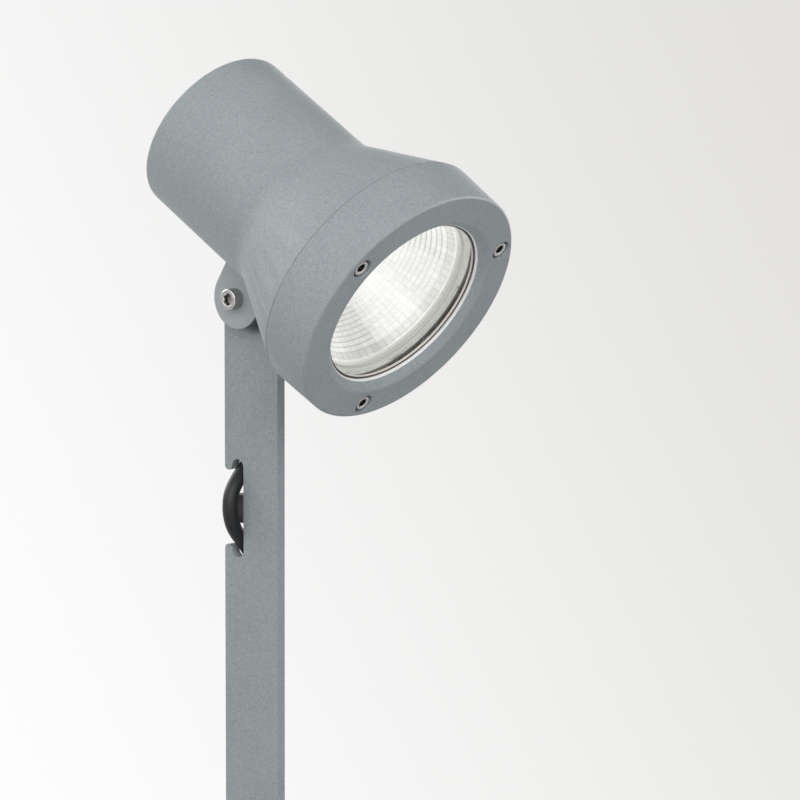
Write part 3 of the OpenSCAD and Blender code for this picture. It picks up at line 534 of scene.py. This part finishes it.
def clear_glass():
    """A clear pane: it lets light straight through and mirrors at a low angle."""
    n = Nodes("clear_glass")
    n.tree.nodes.remove(n.shader)
    clear = n.add("ShaderNodeBsdfTransparent", Color=(0.975, 0.99, 0.985, 1))
    gloss = n.add("ShaderNodeBsdfGlossy", Color=(1, 1, 1, 1), Roughness=0.02)
    fresnel = n.add("ShaderNodeFresnel", IOR=1.45)
    mix = n.add("ShaderNodeMixShader")
    n.link(n.math("MULTIPLY", fresnel.outputs["Fac"], 0.3), mix.inputs["Fac"])
    n.link(clear.outputs[0], mix.inputs[1])
    n.link(gloss.outputs[0], mix.inputs[2])
    n.link(mix.outputs[0], n.out.inputs["Surface"])
    return n.material


def lamp_phosphor():
    """The lamp's disc: a warm matt face that gives light."""
    n = Nodes("lamp_phosphor")
    tones = [(0.3, (0.86, 0.80, 0.55)), (0.7, (0.92, 0.88, 0.66))]
    n.link(n.ramp(n.noise(0.8 * MM), tones), n.shader.inputs["Base Color"])
    n.shader.inputs["Roughness"].default_value = 0.6
    n.shader.inputs["Emission Color"].default_value = (1.0, 0.985, 0.95, 1)
    n.shader.inputs["Emission Strength"].default_value = 10.0
    return n.material


glass = clear_glass()
phosphor = lamp_phosphor()

# Reflector: a bowl of small pillowed facets, in rings
BOWL_NECK_R = 11 * MM
BOWL_MOUTH_R = 41 * MM
BOWL_NECK = 24 * MM
BOWL_MOUTH = 72.7 * MM
BOWL_T = 1.2 * MM
FLANGE_R = 46 * MM
FACET_RINGS = 27
FACETS_ROUND = 64
FACET_CUTS = 2
PILLOW = 0.05 * MM
OUTER_ROW = 1.72 * MM
BACK_STEPS = 24


def bowl_forward(r):
    """The place along the head's axis of the bowl's inner face, at a radius."""
    share = (r * r - BOWL_NECK_R ** 2) / (BOWL_MOUTH_R ** 2 - BOWL_NECK_R ** 2)
    return BOWL_NECK + (BOWL_MOUTH - BOWL_NECK) * share


def ring_radius(rings):
    """The bowl's radius at a number of facet rows from the neck; the last row is wider."""
    row = (BOWL_MOUTH_R - OUTER_ROW - BOWL_NECK_R) / (FACET_RINGS - 1)
    last = max(rings - (FACET_RINGS - 1), 0)
    return BOWL_NECK_R + row * (rings - last) + OUTER_ROW * last


def make_reflector():
    """The bowl as one closed skin: its facets inside, the flange at its mouth, its smooth back."""
    across, around = FACET_RINGS * FACET_CUTS, FACETS_ROUND * FACET_CUTS
    points = []
    for i in range(across + 1):
        r = ring_radius(i / FACET_CUTS)
        rise_i = math.sin(math.pi * (i % FACET_CUTS) / FACET_CUTS)
        for k in range(around):
            rise_k = math.sin(math.pi * (k % FACET_CUTS) / FACET_CUTS)
            lift = PILLOW * min(rise_i, rise_k)
            angle = 2 * math.pi * (k + FACET_CUTS / 2) / around
            points.append(on_axis(bowl_forward(r), r - lift, angle))
    faces = skin(0, across + 1, around)
    rims = [
        (BOWL_MOUTH_R, BOWL_MOUTH), (FLANGE_R, BOWL_MOUTH), (FLANGE_R, BOWL_MOUTH - BOWL_T),
        (BOWL_MOUTH_R + BOWL_T, BOWL_MOUTH - BOWL_T),
    ]
    # The back's first ring is a little lower, to stay clear of the flange's front
    for i in range(BACK_STEPS + 1):
        r = BOWL_MOUTH_R + (BOWL_NECK_R - BOWL_MOUTH_R) * i / BACK_STEPS
        rims.append((r + BOWL_T, bowl_forward(r) - (BOWL_T / 4 if i == 0 else 0)))
    rims.append((BOWL_NECK_R, BOWL_NECK))
    first = len(points)
    for r, forward in rims:
        points += [on_axis(forward, r, 2 * math.pi * k / around) for k in range(around)]
    faces += skin(first, len(rims), around)
    piece = new_mesh("reflector_bowl", points, faces)
    lay_out_facets(piece.data, across, around)
    tidy_normals(piece)
    return piece


def lay_out_facets(mesh, across, around):
    """Lays the bowl's inner face out flat: round it in u, from the neck to the mouth in v."""
    layer = mesh.uv_layers.new(name="facets")
    for face in mesh.polygons[:across * around]:
        i, k = divmod(face.index, around)
        for loop, (x, y) in zip(face.loop_indices, ((0, 0), (1, 0), (1, 1), (0, 1))):
            layer.data[loop].uv = ((k + x) / around, (i + y) / across)


reflector = make_reflector()
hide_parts("reflector")
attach(reflector, "head")

# The bowl's painted light and its painted dark ring reflections, by the share of a half turn, which
# then repeats
HALF_TURN_START = 0.1956
GLOW_BY_ANGLE = [
    (0, 0.80), (0.12, 0.76), (0.18, 0.68), (0.236, 0.60), (0.317, 0.61), (0.325, 0.74), (0.4, 0.84),
    (0.514, 0.95), (0.6, 0.86), (0.68, 0.87), (0.79, 0.84), (0.9, 0.86), (1, 0.82),
]
PAINTED_RINGS_BY_ANGLE = [
    (0, 0.34), (0.08, 0.40), (0.316, 0.40), (0.325, 0.14), (0.58, 0.12), (0.605, 0.26),
    (0.745, 0.30), (0.76, 0.52), (0.96, 0.52), (1, 0.4),
]
LAST_ROW_GLOW = -0.16
MOUTH_LINE_GLOW = 0.3
TONE_LOW = -0.05
TONE_HIGH = 0.04
BOWL_TINT = (1.025, 0.995, 0.97)


def bowl_painted_light():
    """Bright plastic whose light is painted: it glows in place of the lamp's light, with soft
    square facets and columns of differing tones, painted dark ring reflections in some sectors,
    painted glare towards the deep middle, a duller last row and a painted highlight line at the
    mouth."""
    n = Nodes("bowl_painted_light")
    split = n.add("ShaderNodeSeparateXYZ")
    n.link(n.add("ShaderNodeTexCoord").outputs["UV"], split.inputs[0])
    turn, out, _ = split.outputs
    facets = n.math("MULTIPLY", turn, FACETS_ROUND)
    rings = n.math("MULTIPLY", out, FACET_RINGS)
    half_turn = n.math("FRACT", n.math("ADD", n.math("MULTIPLY", turn, 2), HALF_TURN_START))

    def line(cells, start):
        """1 on the lines between the cells, and 0 in their middles."""
        edge = n.math("ABSOLUTE", n.math("SUBTRACT", n.math("FRACT", cells), 0.5))
        return n.span(edge, 0, 1, start, 0.5)

    def by_angle(levels):
        """Levels that go round the bowl, twice."""
        return n.ramp(half_turn, [(at, (level,) * 3) for at, level in levels])

    def chance(dimensions, *cells):
        """A number from 0 to 1 that each cell has by chance, the same in each run."""
        noise = n.add("ShaderNodeTexWhiteNoise", noise_dimensions=dimensions)
        if dimensions == "1D":
            n.link(n.math("FLOOR", cells[0]), noise.inputs["W"])
            return noise.outputs["Value"]
        cell = n.add("ShaderNodeCombineXYZ")
        for i, value in enumerate(cells):
            n.link(n.math("FLOOR", value), cell.inputs[i])
        n.link(cell.outputs[0], noise.inputs["Vector"])
        return noise.outputs["Value"]

    last_row = n.span(rings, 0, 1, FACET_RINGS - 1.01, FACET_RINGS - 0.99)
    # Painted glare, brighter towards the deep middle
    deep = n.span(out, 0.16, 0, 0.2, 0.75)
    glow = n.math("ADD", by_angle(GLOW_BY_ANGLE), deep)
    glow = n.math("ADD", glow, n.math("MULTIPLY", last_row, LAST_ROW_GLOW))
    mottle = n.span(chance("2D", facets, rings), TONE_LOW, TONE_HIGH, 0, 1)
    mottle = n.math("MULTIPLY", mottle, n.span(last_row, 1, 1.6, 0, 1))
    glow = n.math("ADD", glow, mottle)
    columns = n.span(chance("1D", facets), TONE_LOW, TONE_HIGH, 0, 1)
    columns = n.math("MULTIPLY", columns, n.span(out, 0.3, 1, 0.5, 1))
    glow = n.math("ADD", glow, columns)
    # Dark ring lines: painted reflection, strong in some sectors
    dark = n.math("MULTIPLY", by_angle(PAINTED_RINGS_BY_ANGLE), n.span(out, 0.3, 1, 0.25, 0.7))
    dark = n.math("MULTIPLY", dark, n.span(last_row, 1, 0.25, 0, 1))
    dark = n.math("MULTIPLY", line(rings, 0.28), dark)
    seams = n.math("MULTIPLY", line(facets, 0.3), n.span(out, 0.05, 0.15, 0.3, 0.8))
    glow = n.math("SUBTRACT", glow, n.math("MAXIMUM", dark, seams))
    # A painted highlight line at the mouth
    mouth_line = n.span(rings, 0, MOUTH_LINE_GLOW, FACET_RINGS - 0.2, FACET_RINGS - 0.12)
    glow = n.math("ADD", glow, mouth_line)
    tint = n.add("ShaderNodeVectorMath", operation="SCALE")
    tint.inputs[0].default_value = BOWL_TINT
    n.link(glow, tint.inputs["Scale"])
    n.link(tint.outputs[0], n.shader.inputs["Emission Color"])
    n.shader.inputs["Emission Strength"].default_value = 1.0
    n.shader.inputs["Base Color"].default_value = (0.24, 0.24, 0.235, 1)
    n.link(n.span(n.noise(2 * MM), 0.3, 0.22), n.shader.inputs["Roughness"])
    return n.material


reflector.data.materials.append(bowl_painted_light())

# Socket screws: turned rings with a grooved head, a hexagonal socket and a thread
SCREW_SIDES = 96
SCREW_MATERIALS = [stainless, dull_shaded_steel, painted_shade_steel]
# Finishes: bright stainless, a duller one darkened partly as painted shade, and a painted shade one
BRIGHT, DULL_SHADED, PAINTED_SHADE = range(3)
GROOVE = 0.16
THREAD_STEPS = 5
THREAD_DEPTH = 0.45
TIP_SHARE = 0.72
TIP_LENGTH = 0.5


# A ring's height and radii are in millimetres. Its finish is that of the faces that lead to it
def round_ring(height, r, finish=BRIGHT):
    return height, [r] * SCREW_SIDES, finish


def grooved_ring(height, r, finish=DULL_SHADED):
    """A ring with a fine groove at each second point."""
    return height, [r - GROOVE * (k % 2) for k in range(SCREW_SIDES)], finish


def hex_ring(height, flat, finish=DULL_SHADED):
    """A six-sided ring, as wide across its flats as flat says."""
    turns = [2 * math.pi * k / SCREW_SIDES for k in range(SCREW_SIDES)]
    corner = math.pi / 6
    radii = [flat / 2 / math.cos((a + corner) % (2 * corner) - corner) for a in turns]
    return height, radii, finish


def thread_rings(r, start, length, pitch):
    """A thread that winds round the shank."""
    steps = round(length / pitch * THREAD_STEPS)
    depth = pitch * THREAD_DEPTH
    rings = []
    for i in range(steps + 1):
        height = start + length * i / steps
        turns = [height / pitch - k / SCREW_SIDES for k in range(SCREW_SIDES)]
        waves = [math.cos(2 * math.pi * t) for t in turns]
        rings.append((height, [r - depth * (0.5 + 0.5 * w) for w in waves], BRIGHT))
    return rings


def shank_rings(r, length, pitch, thread):
    """The shank from its tip to the seat, threaded over a part of its length."""
    rings = [round_ring(-length, r * TIP_SHARE)]
    rings += thread_rings(r, -length + TIP_LENGTH, thread, pitch)
    rings += [round_ring(-length + thread + pitch, r), round_ring(0, r)]
    return rings


def hinge_bolt_rings():
    """The hinge bolt's shank, grooved head and countersunk socket."""
    return shank_rings(3, 25, 1, 14) + [
        round_ring(0, 4.7, DULL_SHADED), round_ring(0.25, 4.95, DULL_SHADED),
        grooved_ring(0.45, 5), grooved_ring(4.9, 5),
        round_ring(5.05, 4.85, PAINTED_SHADE), round_ring(5.3, 4.98, PAINTED_SHADE), round_ring(5.65, 4.95, DULL_SHADED),
        round_ring(5.88, 4.75), round_ring(6, 4.5),
        round_ring(5.97, 4.2, PAINTED_SHADE), round_ring(5.97, 3.75, DULL_SHADED), round_ring(5.97, 3.4, PAINTED_SHADE),
        round_ring(6, 3.25), round_ring(5.9, 3.05),
        hex_ring(5.3, 5, BRIGHT), hex_ring(3.2, 5, PAINTED_SHADE), round_ring(2.7, 1.2, PAINTED_SHADE),
    ]


def front_screw_rings():
    """A front screw's shank, grooved and rounded head, and socket."""
    return shank_rings(2.5, 25, 0.8, 12) + [
        round_ring(0, 4.0, DULL_SHADED), round_ring(0.25, 4.2, DULL_SHADED),
        grooved_ring(0.4, 4.25), grooved_ring(3.9, 4.25),
        round_ring(4.05, 4.15, DULL_SHADED), round_ring(4.2, 4.22), round_ring(4.5, 4.1),
        round_ring(4.7, 3.85, PAINTED_SHADE), round_ring(4.85, 3.55, PAINTED_SHADE),
        round_ring(4.97, 3.5), round_ring(5, 3.3), round_ring(5, 2.62), round_ring(4.93, 2.5),
        hex_ring(4.6, 4), hex_ring(2.4, 4, PAINTED_SHADE), round_ring(2.0, 1, PAINTED_SHADE),
    ]


def screws(name, body, rings, places):
    """The same screw at each place, all in one piece that rides on a body."""
    points, faces, finishes = [], [], []
    for place in places:
        first = len(points)
        for height, radii, _ in rings:
            for k, r in enumerate(radii):
                a = 2 * math.pi * k / SCREW_SIDES
                points.append(place @ (Vector((r * math.cos(a), r * math.sin(a), height)) * MM))
        faces += skin(first, len(rings), SCREW_SIDES)
        for _, _, finish in rings[1:]:
            finishes += [finish] * SCREW_SIDES
        last = first + (len(rings) - 1) * SCREW_SIDES
        faces.append(tuple(first + k for k in reversed(range(SCREW_SIDES))))
        faces.append(tuple(last + k for k in range(SCREW_SIDES)))
        finishes += [BRIGHT, DULL_SHADED]
    piece = new_mesh(name, points, faces, smooth=False)
    for metal in SCREW_MATERIALS:
        piece.data.materials.append(metal)
    piece.data.polygons.foreach_set("material_index", finishes)
    tidy_normals(piece)
    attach(piece, body)
    return piece


BOLT_SEAT = -12.6 * MM
RECESS_DEPTH = 5.8 * MM
SCREW_CIRCLE_R = 55 * MM
SCREW_START = math.radians(1)
bolt_place = Matrix.Translation((0, BOLT_SEAT, HINGE_H)) @ Matrix.Rotation(math.pi / 2, 4, "X")
screw_places = [
    AXIS_FRAME @ Matrix.Rotation(SCREW_START + 2 * math.pi * i / 3, 4, "X")
    @ Matrix.Translation((FRONT_FACE - RECESS_DEPTH, 0, -SCREW_CIRCLE_R))
    @ Matrix.Rotation(math.pi / 2, 4, "Y")
    for i in range(3)
]
hinge_bolt = screws("hinge_bolt_turned", "stem", hinge_bolt_rings(), [bolt_place])
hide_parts("hinge_bolt")
front_screws = screws("front_screws_turned", "head", front_screw_rings(), screw_places)
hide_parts("bezel_screws")

# Finishes of the solids
FINISHES = {
    bar_paint: ["stem"],
    housing_paint: ["housing"],
    bezel_paint: ["bezel"],
    stainless: [
        "hinge_washer", "hinge_nut", "holder_screws", "spreader_screws", "tray_screws",
        "driver_screws", "plug_pins", "plug_earth_clips",
    ],
    bare_aluminium: ["heat_spreader", "driver_tray"],
    glass: ["front_glass"],
    seal_rubber: ["glass_seal", "gland_gasket", "gland_seal"],
    collar_plastic: ["reflector_collar"],
    white_plastic: ["lamp_board", "lamp_holder", "lamp_driver", "terminal_block"],
    heat_pad_pink: ["heat_pad"],
    wire_red: ["lamp_leads"],
    wire_brown: ["mains_cores"],
    dark_plastic: ["gland_body", "gland_cap", "plug_body"],
    rubber: ["cable_entry"],
}
for finish, nodes in FINISHES.items():
    for node in nodes:
        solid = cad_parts[node]
        solid.data.materials.clear()
        solid.data.materials.append(finish)
cable.data.materials.append(rubber)


def second_finish(node, finish, start, end, widest):
    """Gives another finish to the faces whose middle is between a start and an end on the head's
    axis and within the widest radius, in millimetres."""
    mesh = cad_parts[node].data
    mesh.materials.append(finish)
    index = len(mesh.materials) - 1
    for face in mesh.polygons:
        forward, r = place_on_axis(face.center)
        if start < forward < end and r < widest:
            face.material_index = index


second_finish("lamp_board", phosphor, 21.05, 30, 8.4)
# Near-white painted highlight on the opening's lip wall
second_finish("bezel", lip_painted_highlight, 82.8, 83.8, 43.5)
second_finish("glass_seal", seal_lip, 81.6, 82.6, 42.6)
# The seal's back ring and pocket wall take the collar's painted glow and painted shade
second_finish("glass_seal", collar_plastic, 0, 77.6, 46.9)

FLAT_WITHIN = math.radians(1)
SHARP_FROM = math.radians(40)


def soften(node, width):
    """Rounds the sharp edges of a solid by a hair, so that they catch the light."""
    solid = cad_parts[node]
    weld = solid.modifiers.new("joined_points", "WELD")
    weld.merge_threshold = SAME_POINT
    flat = solid.modifiers.new("flat_faces", "DECIMATE")
    flat.decimate_type = "DISSOLVE"
    flat.angle_limit = FLAT_WITHIN
    flat.delimit = {"MATERIAL"}
    edge = solid.modifiers.new("soft_edges", "BEVEL")
    edge.width = width
    edge.segments = 2
    edge.limit_method = "ANGLE"
    edge.angle_limit = SHARP_FROM
    edge.harden_normals = True


soften("stem", 0.4 * MM)
soften("bezel", 0.5 * MM)
soften("housing", 0.3 * MM)

# Stage: a pale floor and a pale world, which darkens to the upper right of the picture
FLOOR_R = 9
FLOOR_SIDES = 96
FLOOR_FADE = 0.45, 1.05
SHADE_WAY = CAM_RIGHT * 0.738 + CAM_UP * 0.361
SHADE_SPAN = -0.195, 0.195
BACKDROP_TONES = [(0, (1, 1, 1)), (1, (0.745, 0.735, 0.722))]
WORLD_COLOUR = (0.97, 0.985, 1.0, 1)
WORLD_STRENGTH = 0.14


def seen_ray(n):
    """1 for a ray from the camera, a mirror or a clear piece, and 0 for the light's own rays."""
    rays = n.add("ShaderNodeLightPath").outputs
    either = n.math("MAXIMUM", rays["Is Camera Ray"], rays["Is Glossy Ray"])
    return n.math("MAXIMUM", either, rays["Is Transmission Ray"])


def pale_floor():
    """A pale floor that takes shadows near the object and fades into the backdrop further off."""
    n = Nodes("pale_floor")
    n.shader.inputs["Roughness"].default_value = 0.9
    n.shader.inputs["Specular IOR Level"].default_value = 0.2
    n.shader.inputs["Base Color"].default_value = (0.72, 0.715, 0.705, 1)
    distance = n.add("ShaderNodeVectorMath", operation="LENGTH")
    n.link(n.add("ShaderNodeNewGeometry").outputs["Position"], distance.inputs[0])
    far = n.span(distance.outputs["Value"], 0, 1, *FLOOR_FADE)
    mix = n.add("ShaderNodeMixShader")
    n.link(n.math("MULTIPLY", far, seen_ray(n)), mix.inputs["Fac"])
    n.link(n.shader.outputs[0], mix.inputs[1])
    n.link(n.add("ShaderNodeBsdfTransparent").outputs[0], mix.inputs[2])
    n.link(mix.outputs[0], n.out.inputs["Surface"])
    return n.material


bpy.ops.mesh.primitive_circle_add(vertices=FLOOR_SIDES, radius=FLOOR_R, fill_type="NGON")
floor = bpy.context.object
floor.name = "floor"
floor.data.materials.append(pale_floor())


class WorldNodes(Nodes):
    """The same helper for the world's nodes."""

    def __init__(self, name):
        world = bpy.data.worlds.new(name)
        bpy.context.scene.world = world
        world.use_nodes = True
        self.tree = world.node_tree
        self.tree.nodes.clear()
        self.out = self.add("ShaderNodeOutputWorld")


def studio_world():
    """The backdrop that is seen, and an even soft light in its place for the light's own rays."""
    n = WorldNodes("studio")
    across = n.add("ShaderNodeVectorMath", operation="DOT_PRODUCT")
    n.link(n.add("ShaderNodeTexCoord").outputs["Generated"], across.inputs[0])
    across.inputs[1].default_value = SHADE_WAY
    share = n.span(across.outputs["Value"], 0, 1, *SHADE_SPAN)
    backdrop = n.ramp(share, BACKDROP_TONES)
    backdrop.node.color_ramp.interpolation = "EASE"
    shown = n.add("ShaderNodeBackground", Strength=1.0)
    n.link(backdrop, shown.inputs["Color"])
    lighting = n.add("ShaderNodeBackground", Color=WORLD_COLOUR, Strength=WORLD_STRENGTH)
    mix = n.add("ShaderNodeMixShader")
    n.link(seen_ray(n), mix.inputs["Fac"])
    n.link(lighting.outputs[0], mix.inputs[1])
    n.link(shown.outputs[0], mix.inputs[2])
    n.link(mix.outputs[0], n.out.inputs["Surface"])


studio_world()

# Lamps: the way to each by the camera's axes (right, up and back), and its power in watts
LAMPS = {
    "front_lamp": (-0.06, 0.32, 0.94, 13.6),
    "front_right_lamp": (0.52, 0.28, 0.81, 6.6),
    "left_lamp": (-0.78, 0.49, -0.39, 11.5),
    "front_left_lamp": (-0.7, 0.35, 0.6, 6),
    "right_lamp": (0.9, 0.3, 0.1, 3.1),
    "top_lamp": (0.3, 0.8, 0.5, 3.2),
    "back_left_lamp": (-0.51, 0.26, -0.82, 2.6),
    "back_lamp": (0.25, 0.2, -0.95, 7),
}
LAMP_TARGET = Vector((0.02, 0, 0.56))
LAMP_DISTANCE = 1.7
LAMP_SIZE = 1.1


def lamp(name, right, up, back, power):
    """A soft square lamp, aimed at the head."""
    way = (CAM_RIGHT * right + CAM_UP * up + CAM_BACK * back).normalized()
    data = bpy.data.lights.new(name, "AREA")
    data.shape = "SQUARE"
    data.size = LAMP_SIZE
    data.energy = power
    holder = bpy.data.objects.new(name, data)
    holder.location = LAMP_TARGET + way * LAMP_DISTANCE
    holder.rotation_mode = "QUATERNION"
    holder.rotation_quaternion = (-way).to_track_quat("-Z", "Y")
    holder.visible_camera = False
    bpy.context.scene.collection.objects.link(holder)


for lamp_name, numbers in LAMPS.items():
    lamp(lamp_name, *numbers)
